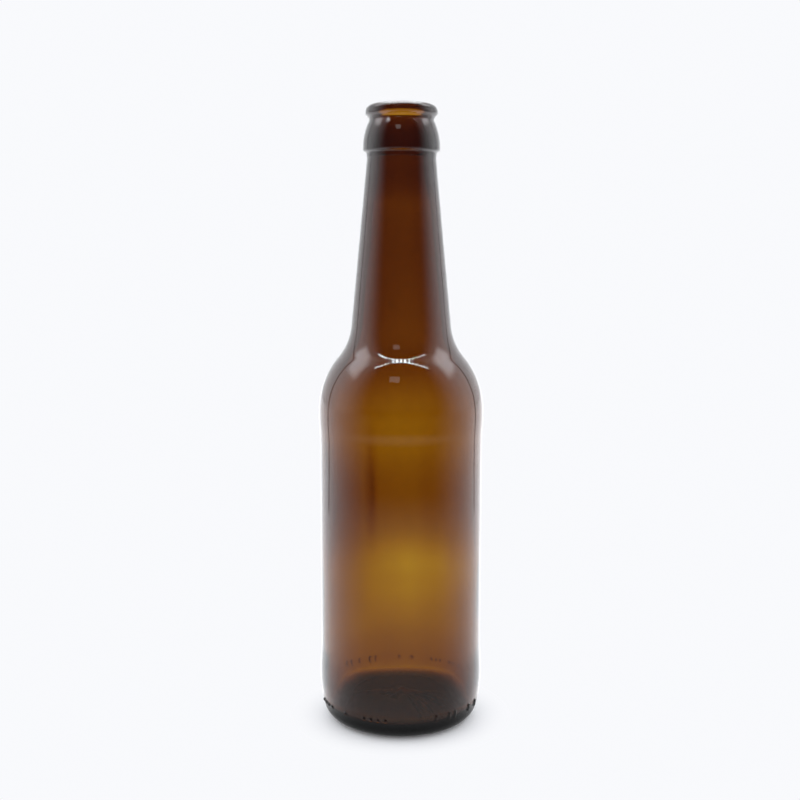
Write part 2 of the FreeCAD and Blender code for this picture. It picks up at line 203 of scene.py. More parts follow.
class Nodes:
    """A shader's node tree, written from its sources to its output."""

    def __init__(self, owner: bpy.types.ID) -> None:
        """Empties the tree.

        Args:
            owner: the material or world that the tree belongs to.
        """
        owner.use_nodes = True
        self.tree = owner.node_tree
        self.tree.nodes.clear()

    def add(self, kind: str, inputs: dict | None = None, **settings: object) -> bpy.types.Node:
        """Adds a node.

        Args:
            kind: the node's type without its prefix.
            inputs: for each input, a plain value or a socket that it is linked from.
            settings: properties of the node itself.

        Returns:
            The new node.
        """
        node = self.tree.nodes.new("ShaderNode" + kind)
        for name, value in settings.items():
            setattr(node, name, value)
        for name, value in (inputs or {}).items():
            if isinstance(value, Socket):
                self.tree.links.new(value, node.inputs[name])
            else:
                node.inputs[name].default_value = value
        return node

    def math(self, operation: str, *values: float | Socket) -> Socket:
        """Adds a Math node.

        Args:
            operation: the Math node's operation.
            values: its inputs in order, plain or linked.

        Returns:
            The node's result.
        """
        return self.add("Math", dict(enumerate(values)), operation=operation).outputs[0]

    def ramp(
        self, value: Socket, low: float, high: float, start: float = 0.0, end: float = 1.0
    ) -> Socket:
        """Adds a smooth ramp.

        Args:
            value: what the ramp reads.
            low: where the ramp begins.
            high: where the ramp ends.
            start: the result at and below low.
            end: the result at and above high.

        Returns:
            The ramp's result.
        """
        inputs = {"Value": value, "From Min": low, "From Max": high, "To Min": start, "To Max": end}
        return self.add("MapRange", inputs, interpolation_type="SMOOTHSTEP").outputs["Result"]

    def noise(self, where: Socket, grain: Grain) -> Socket:
        """Adds a Noise texture.

        Args:
            where: the coordinates that it is laid over.
            grain: how coarse and how rough it is.

        Returns:
            The noise.
        """
        inputs = {"Scale": grain.scale, "Detail": grain.detail, "Roughness": grain.roughness}
        return self.add("TexNoise", {"Vector": where, **inputs}).outputs["Fac"]

    def here(self) -> Socket:
        """The object's own coordinates.

        Returns:
            A vector in metres.
        """
        return self.add("TexCoord").outputs["Object"]

    def place(self) -> tuple[Socket, Socket, Socket]:
        """The object's own coordinates, one by one.

        Returns:
            X, Y and Z in metres.
        """
        parts = self.add("SeparateXYZ", {0: self.here()})
        return parts.outputs["X"], parts.outputs["Y"], parts.outputs["Z"]


# The bottle


@dataclass(frozen=True)
class BrownGlass:
    """Clear brown container glass, fire-polished, with the marks that its mould leaves in it.

    Absorption is given for each colour per millimetre of glass. The other sizes are in metres.
    """

    name: str = "brown_container_glass"
    refraction: float = 1.52
    polish: float = 0.006
    handling_haze: float = 0.02
    absorbs_red: float = 0.33
    absorbs_green: float = 0.532
    absorbs_blue: float = 1.70
    haze_clouds: Grain = Grain(55.0, 5.0, 0.6)
    haze_range: Point = (0.5, 0.8)
    seam_width: float = 0.35 * MM
    seam_relief: float = 0.06 * MM
    seam_foot: Point = (2 * MM, 6 * MM)
    seam_fade: float = 1 * MM
    skin_relief: float = 0.004 * MM
    skin_waves: Grain = Grain(110.0, 2.0, 0.4)
    streak_relief: float = 0.010 * MM
    streaks: Grain = Grain(420.0, 1.0)
    streak_draw: float = 0.02
    streak_fade: Point = (0.125, 0.165)
    streak_foot: float = 0.25
    stipple_relief: float = 0.12 * MM
    stipple_height: float = 1.3 * MM
    stipple_full: float = 0.3
    stipple_scale: float = 900.0

    def build(self, finish_foot: float) -> bpy.types.Material:
        """Makes the material.

        Args:
            finish_foot: height of the parting line under the crown finish, in metres.

        Returns:
            The glass.
        """
        glass = bpy.data.materials.new(self.name)
        nodes = Nodes(glass)
        relief = nodes.math("ADD", self.mould_seam(nodes, finish_foot), self.skin(nodes))
        relief = nodes.math("ADD", relief, self.stipple(nodes))
        bump = nodes.add("Bump", {"Strength": 1.0, "Distance": 1.0, "Height": relief})
        surface = nodes.add("BsdfPrincipled", {
            "Base Color": (1, 1, 1, 1),
            "Roughness": self.haze(nodes),
            "IOR": self.refraction,
            "Transmission Weight": 1.0,
            "Normal": bump.outputs["Normal"],
        })
        depth = nodes.add("VolumeAbsorption", {
            "Color": self.absorption_colour(),
            "Density": self.absorbs_blue / MM,
        })
        nodes.add("OutputMaterial", {
            "Surface": surface.outputs["BSDF"],
            "Volume": depth.outputs["Volume"],
        })
        return glass

    def absorption_colour(self) -> Colour:
        """What the volume lets through of each colour where it takes all of the blue.

        Returns:
            The colour.
        """
        return (
            1 - self.absorbs_red / self.absorbs_blue,
            1 - self.absorbs_green / self.absorbs_blue,
            0.0,
            1.0,
        )

    def mould_seam(self, nodes: Nodes, finish_foot: float) -> Socket:
        """The two fine upright ridges where the halves of the mould met.

        Args:
            nodes: the material's nodes.
            finish_foot: height of the parting line under the crown finish, in metres.

        Returns:
            The seam's relief in metres.
        """
        _, y, z = nodes.place()
        near = nodes.ramp(nodes.math("ABSOLUTE", y), 0.0, self.seam_width, self.seam_relief, 0.0)
        below_finish = nodes.ramp(z, finish_foot - self.seam_fade, finish_foot, 1.0, 0.0)
        above_heel = nodes.ramp(z, *self.seam_foot)
        return nodes.math("MULTIPLY", near, nodes.math("MULTIPLY", below_finish, above_heel))

    def skin(self, nodes: Nodes) -> Socket:
        """The faint waves of a blown surface, and the fine streaks drawn up its length.

        Args:
            nodes: the material's nodes.

        Returns:
            Their relief in metres.
        """
        where = nodes.here()
        waves = nodes.noise(where, self.skin_waves)
        drawn = nodes.add("Mapping", {"Vector": where, "Scale": (1.0, 1.0, self.streak_draw)})
        streaks = nodes.noise(drawn.outputs["Vector"], self.streaks)
        _, _, z = nodes.place()
        upper = nodes.ramp(z, *self.streak_fade, self.streak_foot, 1.0)
        fine = nodes.math("MULTIPLY", nodes.math("MULTIPLY", streaks, upper), self.streak_relief)
        return nodes.math("ADD", nodes.math("MULTIPLY", waves, self.skin_relief), fine)

    def stipple(self, nodes: Nodes) -> Socket:
        """The knurling that keeps the bearing ring from wearing.

        Args:
            nodes: the material's nodes.

        Returns:
            The knurls' relief in metres.
        """
        _, _, z = nodes.place()
        knurls = nodes.add("TexVoronoi", {"Vector": nodes.here(), "Scale": self.stipple_scale})
        full = self.stipple_full * self.stipple_height
        low = nodes.ramp(z, full, self.stipple_height, self.stipple_relief, 0.0)
        return nodes.math("MULTIPLY", knurls.outputs["Distance"], low)

    def haze(self, nodes: Nodes) -> Socket:
        """Polish that is a little duller in cloudy patches, where hands and dust have been.

        Args:
            nodes: the material's nodes.

        Returns:
            The roughness.
        """
        clouds = nodes.noise(nodes.here(), self.haze_clouds)
        return nodes.ramp(clouds, *self.haze_range, self.polish, self.handling_haze)


class Mark(Enum):
    """What one place of a mould code holds."""

    GAP = "."
    DOT = "o"
    BAR = "|"


@dataclass(frozen=True)
class MouldCode:
    """A row of small raised marks along the heel, read from one place to the next."""

    pattern: str
    first_bearing: float
    pitch: float = 5.3
    height: float = 8.0
    dot_radius: float = 0.72
    bar_length: float = 3.0
    relief: float = 0.60
    margin: float = 0.5

    def lift(self, past: float, height: float, around: float) -> float:
        """How far the marks lift a point of the heel.

        Args:
            past: how far round the axis the point lies from the first mark, in degrees.
            height: the point's height in millimetres.
            around: millimetres along the heel for each degree.

        Returns:
            The lift in millimetres.
        """
        place = round(past / self.pitch)
        if not 0 <= place < len(self.pattern):
            return 0.0
        mark = Mark(self.pattern[place])
        if mark is Mark.GAP:
            return 0.0
        sideways = (past - place * self.pitch) * around
        upright = height - self.height
        if mark is Mark.BAR:
            half = self.bar_length / 2 - self.dot_radius
            upright = max(abs(upright) - half, 0.0)
        share = (sideways**2 + upright**2) / self.dot_radius**2
        return self.relief * math.sqrt(1 - share) if share < 1 else 0.0


@dataclass(frozen=True)
class WallWave:
    """A place where blowing left the wall thicker or thinner, in millimetres and degrees."""

    change: float
    height: float
    spread: float
    bearing: float = 0.0
    width: float = math.inf

    def thicken(self, height: float, bearing: float) -> float:
        """How much thicker the wave makes the wall at a place.

        Args:
            height: height of the place.
            bearing: its bearing round the axis, 0 at the front.

        Returns:
            The change in thickness; negative where the wall gets thinner.
        """
        up = (height - self.height) / self.spread
        aside = ((bearing - self.bearing + 180) % 360 - 180) / self.width
        return self.change * math.exp(-(up**2 + aside**2))


@dataclass(frozen=True)
class Swell:
    """One layer of the unevenness that runs all over the hollow's wall.

    Turns says how fast it changes round the wall, and rise over how many millimetres of height.
    """

    share: float
    turns: float
    rise: float
    offset: float = 0.0

    def push(self, outward: Vector, height: float) -> float:
        """How far the layer pushes the wall outward at a place.

        Args:
            outward: the way out from the axis, of length 1.
            height: height of the place in millimetres.

        Returns:
            The push as a share of the wall's waviness.
        """
        aside = (outward.x * self.turns, outward.y * self.turns)
        return self.share * noise.noise(Vector((*aside, height / self.rise + self.offset)))


@dataclass(frozen=True)
class EdgeCounts:
    """How many edges each stretch of the half-section is divided into."""

    push_up: int = 14
    bearing_ring: int = 3
    heel_corner: int = 14
    heel_taper: int = 12
    bend: int = 6
    panel: int = 14
    band: int = 2
    shoulder: int = 22
    flare: int = 14
    neck: int = 16
    ring_edge: int = 7
    skirt: int = 12
    groove: int = 9
    lip_foot: int = 6
    lip_top: int = 14
    mouth: int = 8
    bore: int = 6
    bore_blend: int = 8
    inner_wall: int = 33
    inner_heel: int = 12
    floor: int = 12
    in_marks: int = 4


@dataclass
class Bottle:
    """The bottle: one wall of glass from the pushed-up base to the crown finish.

    Sizes are in millimetres. The height and the body's radius come from the frame. The wall's
    waves grow upward from wave_start, and fade out wave_end below the finish.
    """

    height: float
    body_radius: float
    push_up: float = 3.5
    bearing_width: float = 2.2
    heel_corner: float = 6.7
    heel_taper: float = 53.0
    heel_band: float = 17.8
    label_recess: float = 0.45
    panel_foot_rise: float = 13.0
    panel_head_rise: float = 10.4
    shoulder_band: float = 1.7
    shoulder_drop: float = 112.1
    shoulder_round: float = 31.7
    flare_round: float = 20.8
    neck_slope: float = 5.5
    lip_radius: float = 13.3
    lip_height: float = 3.4
    lip_underside: float = 1.6
    ring_overhang: float = 0.9
    ring_skirt: float = 10.3
    ring_skirt_radius: float = 22.0
    ring_band: float = 1.4
    ring_bevel: float = 0.7
    ring_root: float = 1.7
    root_setback: float = 1.33
    neck_step: float = 0.12
    neck_step_rise: float = 0.08
    lip_top_round: float = 2.4
    lip_lower_round: float = 0.9
    groove_round: float = 1.4
    ring_edge_round: float = 1.3
    ring_root_round: float = 1.1
    body_wall: float = 2.4
    neck_foot_wall: float = 3.9
    base_thickness: float = 4.0
    inner_heel: float = 3.4
    floor_crown: float = 160.0
    inner_shoulder: float = 29.0
    bore_radius: float = 8.2
    bore_length: float = 18.0
    bore_blend: float = 60.0
    mouth_round: float = 2.6
    wave_start: float = 3.0
    wave_growth: float = 6.0
    wave_end: float = 8.0
    wave_fade: float = 8.0
    wall_waviness: float = 0.2
    swells: tuple[Swell, ...] = (
        Swell(1.0, 1.3, 46.0),
        Swell(0.35, 3.1, 70.0, 9.0),
        Swell(0.3, 5.2, 17.0, 31.0),
    )
    waves: tuple[WallWave, ...] = (
        WallWave(0.68, 84.0, 16.0),
        WallWave(-0.48, 130.0, 18.0),
        WallWave(-0.30, 176.0, 34.0),
        WallWave(-0.55, 200.0, 14.0),
        WallWave(0.36, 15.0, 7.0),
        WallWave(1.10, 9.5, 4.5),
        WallWave(-0.28, 58.5, 9.5),
        WallWave(-0.58, 59.0, 8.5, 6.0, 40.0),
        WallWave(-0.98, 58.0, 8.2, 175.0, 38.0),
        WallWave(0.62, 80.0, 46.0, -90.0, 52.0),
        WallWave(0.90, 93.0, 15.0, -23.5, 3.8),
        WallWave(0.25, 80.0, 16.0, 158.0, 7.0),
        WallWave(-0.20, 92.0, 12.0, 17.0, 16.0),
    )
    codes: tuple[MouldCode, ...] = (
        MouldCode("oooo..o..oooo", -74.3),
        MouldCode("|.||..|.|", 26.0),
        MouldCode("o.oo.ooo..o.o", 118.0, height=11.4),
        MouldCode("||.|.||", 200.0, height=11.4),
    )
    edges: EdgeCounts = field(default_factory=EdgeCounts)
    glass: BrownGlass = field(default_factory=BrownGlass)

    @property
    def finish_foot(self) -> float:
        """Height of the parting line between the neck and the crown finish."""
        finish = self.lip_height + self.lip_underside + self.ring_skirt
        return self.height - finish - self.ring_band - self.ring_bevel - self.ring_root

    @property
    def panel_radius(self) -> float:
        """Radius of the label panel."""
        return self.body_radius - self.label_recess

    @property
    def ring_radius(self) -> float:
        """Radius of the reinforcing ring."""
        return self.lip_radius + self.ring_overhang

    @property
    def neck_top(self) -> Point:
        """Where the neck meets the parting line."""
        return self.ring_radius - self.root_setback - self.neck_step, self.finish_foot

    @property
    def shoulder_height(self) -> float:
        """Height at which the shoulder's round begins."""
        return self.height - self.shoulder_drop

    def push_up_arc(self) -> tuple[Point, Point, Point]:
        """The pushed-up base.

        Returns:
            Centre of its arc, and the bearing ring's inner and outer edges.
        """
        rise = self.heel_band - self.heel_corner
        level = math.sqrt((self.heel_taper - self.heel_corner) ** 2 - rise**2)
        reach = self.body_radius - self.heel_taper + level
        inner = reach - self.bearing_width
        radius = (inner**2 + self.push_up**2) / (2 * self.push_up)
        return (0.0, self.push_up - radius), (inner, 0.0), (reach, 0.0)

    def flare_centre(self) -> Point:
        """The hollow curve between the shoulder's round and the neck.

        Returns:
            The centre of its arc.
        """
        slope = math.radians(self.neck_slope)
        across = Vector((math.cos(slope), math.sin(slope)))
        down = Vector((math.sin(slope), -math.cos(slope)))
        start = Vector(self.neck_top) + across * self.flare_round
        away = start - Vector((self.body_radius - self.shoulder_round, self.shoulder_height))
        reach = self.shoulder_round + self.flare_round
        beside = away.dot(down)
        travel = -beside - math.sqrt(beside**2 - away.length_squared + reach**2)
        centre = start + down * travel
        return (centre.x, centre.y)

    def draw_heel(self, pen: Pen) -> None:
        """Draws the bearing ring, the heel and the step up to the label panel.

        Args:
            pen: the pen, at the middle of the pushed-up base.
        """
        dome, ring_inner, ring_outer = self.push_up_arc()
        taper = (self.body_radius - self.heel_taper, self.heel_band)
        corner = (ring_outer[0], self.heel_corner)
        pen.arc(dome, ring_inner, self.edges.push_up)
        pen.line(ring_outer, self.edges.bearing_ring)
        pen.arc(corner, toward(taper, corner, self.heel_taper), self.edges.heel_corner)
        pen.arc(taper, (self.body_radius, self.heel_band), self.edges.heel_taper)
        self.draw_bend(pen, (self.panel_radius, self.heel_band + self.panel_foot_rise))

    def draw_bend(self, pen: Pen, end: Point) -> None:
        """Draws two equal arcs that carry the upright wall sideways to a point.

        Args:
            pen: the pen, on the upright wall.
            end: where the wall is upright again.
        """
        shift, rise = end[0] - pen.place[0], end[1] - pen.place[1]
        radius = (shift**2 + rise**2) / (4 * abs(shift))
        side = math.copysign(radius, shift)
        middle = (pen.place[0] + shift / 2, pen.place[1] + rise / 2)
        pen.arc((pen.place[0] + side, pen.place[1]), middle, self.edges.bend)
        pen.arc((end[0] - side, end[1]), end, self.edges.bend)

    def draw_shoulder(self, pen: Pen) -> None:
        """Draws the label panel, the shoulder band, the shoulder, its flare and the neck.

        Args:
            pen: the pen, at the foot of the label panel.
        """
        band_foot = (self.body_radius, self.shoulder_height - self.shoulder_band)
        panel_head = (self.panel_radius, band_foot[1] - self.panel_head_rise)
        shoulder = (self.body_radius - self.shoulder_round, self.shoulder_height)
        flare = self.flare_centre()
        slope = math.radians(self.neck_slope)
        inward, down = self.flare_round * math.cos(slope), self.flare_round * math.sin(slope)
        neck_foot = (flare[0] - inward, flare[1] - down)
        pen.line(panel_head, self.edges.panel)
        self.draw_bend(pen, band_foot)
        pen.line((self.body_radius, self.shoulder_height), self.edges.band)
        pen.arc(shoulder, toward(shoulder, flare, self.shoulder_round), self.edges.shoulder)
        pen.arc(flare, neck_foot, self.edges.flare)
        pen.line(self.neck_top, self.edges.neck)

    def draw_finish(self, pen: Pen) -> None:
        """Draws the crown finish from the parting line to the sealing face.

        Args:
            pen: the pen, at the top of the neck.
        """
        root = self.ring_radius - self.root_setback
        underside = (root, self.finish_foot + self.ring_root)
        edge = (self.ring_radius, underside[1] + self.ring_bevel)
        skirt_foot = (self.ring_radius, edge[1] + self.ring_band)
        skirt_radius = self.ring_skirt_radius
        skirt = (self.ring_radius - skirt_radius, skirt_foot[1])
        narrowed = math.sqrt(skirt_radius**2 - self.ring_skirt**2)
        groove = (skirt[0] + narrowed, skirt[1] + self.ring_skirt)
        lip_foot = (self.lip_radius, groove[1] + self.lip_underside)
        lip_top = (self.lip_radius, self.height)
        pen.line((root, self.finish_foot + self.neck_step_rise))
        pen.corner(pen.place, underside, edge, self.ring_root_round, self.edges.ring_edge)
        pen.corner(underside, edge, skirt_foot, self.ring_edge_round, self.edges.ring_edge)
        pen.line(skirt_foot)
        start, centre, end = groove_round(skirt, skirt_radius, groove, lip_foot, self.groove_round)
        pen.arc(skirt, start, self.edges.skirt)
        pen.arc(centre, end, self.edges.groove)
        middle = (0.0, self.height)
        pen.corner(groove, lip_foot, lip_top, self.lip_lower_round, self.edges.lip_foot)
        pen.corner(lip_foot, lip_top, middle, self.lip_top_round, self.edges.lip_top)

    def draw_inside(self, pen: Pen) -> None:
        """Draws the mouth, the bore and the hollow down to the middle of the floor.

        Args:
            pen: the pen, on the sealing face.
        """
        blend = (self.bore_radius + self.bore_blend, self.height - self.bore_length)
        flare, flare_radius = self.flare_centre(), self.flare_round + self.neck_foot_wall
        run = Vector(blend) - Vector(flare)
        turn = math.atan2(run.y, run.x) + math.acos((flare_radius - self.bore_blend) / run.length)
        square = Vector((math.cos(turn), math.sin(turn)))
        neck_head = Vector(blend) + square * self.bore_blend
        neck_foot = Vector(flare) + square * flare_radius
        wall = self.panel_radius - self.body_wall
        aside = flare[0] - wall + self.inner_shoulder
        drop = math.sqrt((self.inner_shoulder + flare_radius) ** 2 - aside**2)
        shoulder = (wall - self.inner_shoulder, flare[1] - drop)
        floor_top = self.push_up + self.base_thickness
        floor = (0.0, floor_top - self.floor_crown)
        reach = wall - self.inner_heel
        heel_rise = math.sqrt((self.floor_crown + self.inner_heel) ** 2 - reach**2)
        heel = (reach, floor[1] + heel_rise)
        mouth = (self.bore_radius, self.height)
        below = (self.bore_radius, 0.0)
        pen.corner(pen.place, mouth, below, self.mouth_round, self.edges.mouth)
        pen.line((self.bore_radius, blend[1]), self.edges.bore)
        pen.arc(blend, tuple(neck_head), self.edges.bore_blend)
        pen.line(tuple(neck_foot), self.edges.neck)
        pen.arc(flare, toward(flare, shoulder, flare_radius), self.edges.flare)
        pen.arc(shoulder, (wall, shoulder[1]), self.edges.shoulder)
        pen.line((wall, heel[1]), self.edges.inner_wall)
        pen.arc(heel, toward(floor, heel, self.floor_crown), self.edges.inner_heel)
        pen.arc(floor, (0.0, floor_top), self.edges.floor)

    def turn(self, mesh: Mesh) -> None:
        """Turns the half-section in a mesh into the closed wall of glass.

        Args:
            mesh: the mesh that holds the half-section.
        """
        section = [*mesh.verts, *mesh.edges]
        bmesh.ops.spin(
            mesh, geom=section, cent=(0, 0, 0), axis=(0, 0, 1), angle=math.tau,
            steps=TURN_STEPS, use_merge=True, use_duplicate=False,
        )
        bmesh.ops.remove_doubles(mesh, verts=mesh.verts, dist=WELD)
        bmesh.ops.recalc_face_normals(mesh, faces=mesh.faces)

    def is_inside(self, vertex: Vertex) -> bool:
        """Whether a vertex lies on the wall of the hollow, below the finish.

        Args:
            vertex: a vertex of the turned wall.

        Returns:
            True on the hollow's wall.
        """
        outward = Vector((vertex.co.x, vertex.co.y, 0.0))
        in_reach = self.push_up <= vertex.co.z / MM <= self.finish_foot
        return in_reach and outward.length >= AXIS_MARGIN and vertex.normal.dot(outward) < 0

    def wave_wall(self, mesh: Mesh) -> None:
        """Makes the hollow's wall as uneven as blowing leaves it.

        Args:
            mesh: the turned wall of glass.
        """
        mesh.normal_update()
        for vertex in [item for item in mesh.verts if self.is_inside(item)]:
            height = vertex.co.z / MM
            risen = (height - self.wave_start) / self.wave_growth
            left = (self.finish_foot - self.wave_end - height) / self.wave_fade
            grown = min(1.0, max(0.0, risen), max(0.0, left))
            outward = Vector((vertex.co.x, vertex.co.y, 0.0)).normalized()
            bearing = bearing_of(vertex.co)
            thicker = sum(wave.thicken(height, bearing) for wave in self.waves)
            swell = sum(layer.push(outward, height) for layer in self.swells) * self.wall_waviness
            vertex.co += outward * ((swell - thicker) * grown * MM)

    def raise_codes(self, mesh: Mesh) -> None:
        """Raises the mould codes out of the heel.

        Args:
            mesh: the turned wall of glass.
        """
        for code in self.codes:
            faces = [
                face for face in mesh.faces
                if self.carries(code, face.calc_center_median(), face.normal)
            ]
            edges = list(dict.fromkeys(edge for face in faces for edge in face.edges))
            bmesh.ops.subdivide_edges(mesh, edges=edges, cuts=self.edges.in_marks, use_grid_fill=True)
            mesh.normal_update()
            for vertex in mesh.verts:
                if not self.carries(code, vertex.co, vertex.normal):
                    continue
                past = (bearing_of(vertex.co) - code.first_bearing + 180) % 360 - 180
                around = math.radians(vertex.co.xy.length / MM)
                lift = code.lift(past, vertex.co.z / MM, around)
                vertex.co += vertex.normal * (lift * MM)

    def carries(self, code: MouldCode, point: Vector, normal: Vector) -> bool:
        """Whether a point of the outer heel can carry a mark of a code.

        Args:
            code: the row of marks.
            point: the point.
            normal: the surface's normal there.

        Returns:
            True near the row.
        """
        outward = Vector((point.x, point.y, 0.0))
        apart = abs(point.z / MM - code.height)
        if normal.dot(outward) <= 0 or apart > code.bar_length / 2 + code.margin:
            return False
        past = (bearing_of(point) - code.first_bearing + code.pitch) % 360
        return past < (len(code.pattern) + 1) * code.pitch

    def build(self) -> bpy.types.Object:
        """Makes the bottle and puts it in the place of its plain solid.

        Returns:
            The finished bottle.
        """
        mesh = bmesh.new()
        pen = Pen(mesh, (0.0, self.push_up))
        self.draw_heel(pen)
        self.draw_shoulder(pen)
        self.draw_finish(pen)
        self.draw_inside(pen)
        self.turn(mesh)
        self.wave_wall(mesh)
        self.raise_codes(mesh)
        bmesh.ops.recalc_face_normals(mesh, faces=mesh.faces)
        data = bpy.data.meshes.new("bottle_glass")
        mesh.to_mesh(data)
        mesh.free()
        data.shade_smooth()
        data.materials.append(self.glass.build(self.finish_foot * MM))
        piece = bpy.data.objects.new("bottle_glass", data)
        bpy.context.scene.collection.objects.link(piece)
        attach(piece, "root")
        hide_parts("bottle")
        LOG.info("bottle_glass: %d faces", len(data.polygons))
        return piece


# Studio


BACKDROP = (0.945, 0.953, 0.978, 1.0)
# Painted light: how much brighter the white looks where it is seen through the glass.
THROUGH_GLASS = 1.40
# Painted shade: what is left of reflections made inside the glass wall.
INNER_GLOSS = 0.65
OPENING_TURN = math.radians(2)
POLE_TURN = math.radians(123)
POLE_WIDTH = math.radians(2.2)
POLE_SHADE = 0.15


@dataclass
class RayKind:
    """Tells what kind of ray asks a floor or a world for its light."""

    nodes: Nodes

    def __post_init__(self) -> None:
        """Reads the light path."""
        self.path = self.nodes.add("LightPath").outputs

    def seen(self) -> Socket:
        """Tells sight from diffuse light.

        Returns:
            1 for a ray from the camera, or one that glass or gloss sends on, and 0 for the rest.
        """
        eye = self.nodes.math("MAXIMUM", self.path["Is Camera Ray"], self.path["Is Glossy Ray"])
        return self.nodes.math("MAXIMUM", eye, self.path["Is Transmission Ray"])

    def mirrored(self) -> Socket:
        """Tells reflections from what is seen straight or through the glass.

        Returns:
            1 for a ray that a surface has turned back, and 0 for the rest.
        """
        return self.nodes.math("MINIMUM", self.path["Glossy Depth"], 1.0)

    def through(self) -> Socket:
        """Strength of the white behind the bottle, with painted light added where it is seen through the
        glass.

        Returns:
            1 beside the bottle, and more where the glass dims it.
        """
        return self.blend(self.path["Is Transmission Ray"], 1.0, THROUGH_GLASS)

    def inner_painted_shade(self) -> Socket:
        """What painted shade leaves of a reflection.

        Returns:
            1 where the outside of the glass turned the ray back, and less inside the wall.
        """
        inside = self.nodes.math("MINIMUM", self.path["Transmission Depth"], 1.0)
        return self.blend(inside, 1.0, INNER_GLOSS)

    def turned(self, x: Socket, y: Socket) -> Socket:
        """Angle of a place or a direction from the middle of the tent's opening.

        Args:
            x: its X.
            y: its Y.

        Returns:
            The angle in radians, without a sign.
        """
        bearing = self.nodes.math("ARCTAN2", x, self.nodes.math("MULTIPLY", y, -1.0))
        return self.nodes.math("ABSOLUTE", self.nodes.math("SUBTRACT", bearing, OPENING_TURN))

    def past_pole(self, turned: Socket) -> Socket:
        """What the tent's two corner poles leave of the light that comes from beside them.

        Args:
            turned: angle from the middle of the tent's opening.

        Returns:
            1 away from the poles and less at them.
        """
        apart = self.nodes.math("ABSOLUTE", self.nodes.math("SUBTRACT", turned, POLE_TURN))
        return self.nodes.ramp(apart, 0.0, POLE_WIDTH, POLE_SHADE, 1.0)

    def blend(self, share: Socket, low: float | Socket, high: float | Socket) -> Socket:
        """Blends two strengths.

        Args:
            share: 0 for the first and 1 for the second.
            low: the first strength.
            high: the second strength.

        Returns:
            The blend.
        """
        inputs = {0: share, 2: low, 3: high}
        return self.nodes.add("Mix", inputs, data_type="FLOAT").outputs[0]


@dataclass(frozen=True)
class PaleFloor:
    """Smooth white table that fades into the white tent, with a painted reflection that is darker
    towards its opening.

    Distances from the bottle are in metres, and angles in degrees from the opening.
    """

    name: str = "pale_table"
    colour: Colour = (0.90, 0.915, 0.94, 1.0)
    roughness: float = 0.6
    specks: Grain = Grain(900.0, 3.0)
    speck_range: Point = (0.35, 0.65)
    speck_shade: float = 0.012
    fade: Point = (0.021, 0.042)
    # Painted contact shadow in reflections: how far round the bottle it reaches, and what it leaves of
    # the glow.
    contact: Point = (0.0305, 0.043)
    painted_shadow_glow: float = 0.36
    # Painted reflection of the table: its glow near the bottle, towards the opening and to the sides.
    near: Point = (0.045, 0.10)
    near_glow: float = 0.68
    front: Point = (0.12, 0.26)
    front_glow: Point = (0.57, 0.40)
    front_end: Point = (0.36, 0.50)
    opening: float = 0.07
    sides: Point = (38.0, 130.0)
    side_glow: float = 2.0
    # Painted shade of the tent's poles on the table beyond this distance, seen in reflections.
    far_side: Point = (0.37, 0.42)

    def build(self) -> bpy.types.Material:
        """Makes the material.

        Returns:
            The table's finish.
        """
        table = bpy.data.materials.new(self.name)
        nodes = Nodes(table)
        where = nodes.here()
        specks = nodes.noise(where, self.specks)
        tone = nodes.ramp(specks, *self.speck_range, 1 - self.speck_shade, 1.0)
        colour = nodes.add("VectorMath", {0: self.colour[:3], "Scale": tone}, operation="SCALE")
        matt = nodes.add("BsdfPrincipled", {
            "Base Color": colour.outputs["Vector"],
            "Roughness": self.roughness,
        })
        rays = RayKind(nodes)
        x, y, _ = nodes.place()
        away = nodes.add("VectorMath", {0: where}, operation="LENGTH").outputs["Value"]
        mirrored = rays.mirrored()
        faded = nodes.math("MAXIMUM", mirrored, nodes.ramp(away, *self.fade))
        reflected = self.painted_reflection(nodes, rays, away, rays.turned(x, y))
        glow = rays.blend(mirrored, rays.through(), reflected)
        white = nodes.add("Emission", {"Color": BACKDROP, "Strength": glow})
        mixed = nodes.add("MixShader", {
            0: nodes.math("MULTIPLY", faded, rays.seen()),
            1: matt.outputs["BSDF"],
            2: white.outputs["Emission"],
        })
        nodes.add("OutputMaterial", {"Surface": mixed.outputs["Shader"]})
        return table

    def painted_reflection(self, nodes: Nodes, rays: RayKind, away: Socket, turned: Socket) -> Socket:
        """How bright the table looks in a reflection, which is a painted reflection: darker towards the
        opening, brighter to the sides, with a painted contact shadow round the bottle and painted shade
        of the poles on the far table.

        Args:
            nodes: the material's nodes.
            rays: the kinds of ray.
            away: distance from the bottle.
            turned: angle from the opening.

        Returns:
            The strength.
        """
        front = nodes.ramp(away, *self.front, *self.front_glow)
        front = rays.blend(nodes.ramp(away, *self.near), self.near_glow, front)
        front = rays.blend(nodes.ramp(away, *self.front_end), front, self.opening)
        sides = nodes.ramp(turned, math.radians(self.sides[0]), math.radians(self.sides[1]))
        glow = rays.blend(sides, front, self.side_glow)
        # Painted contact shadow: the reflected table is darker close round the bottle.
        glow = nodes.math("MULTIPLY", glow, nodes.ramp(away, *self.contact, self.painted_shadow_glow, 1.0))
        # Painted shade of the tent's poles on the far table, seen in reflections.
        pole = rays.blend(nodes.ramp(away, *self.far_side), 1.0, rays.past_pole(turned))
        glow = nodes.math("MULTIPLY", glow, pole)
        return nodes.math("MULTIPLY", glow, rays.inner_painted_shade())


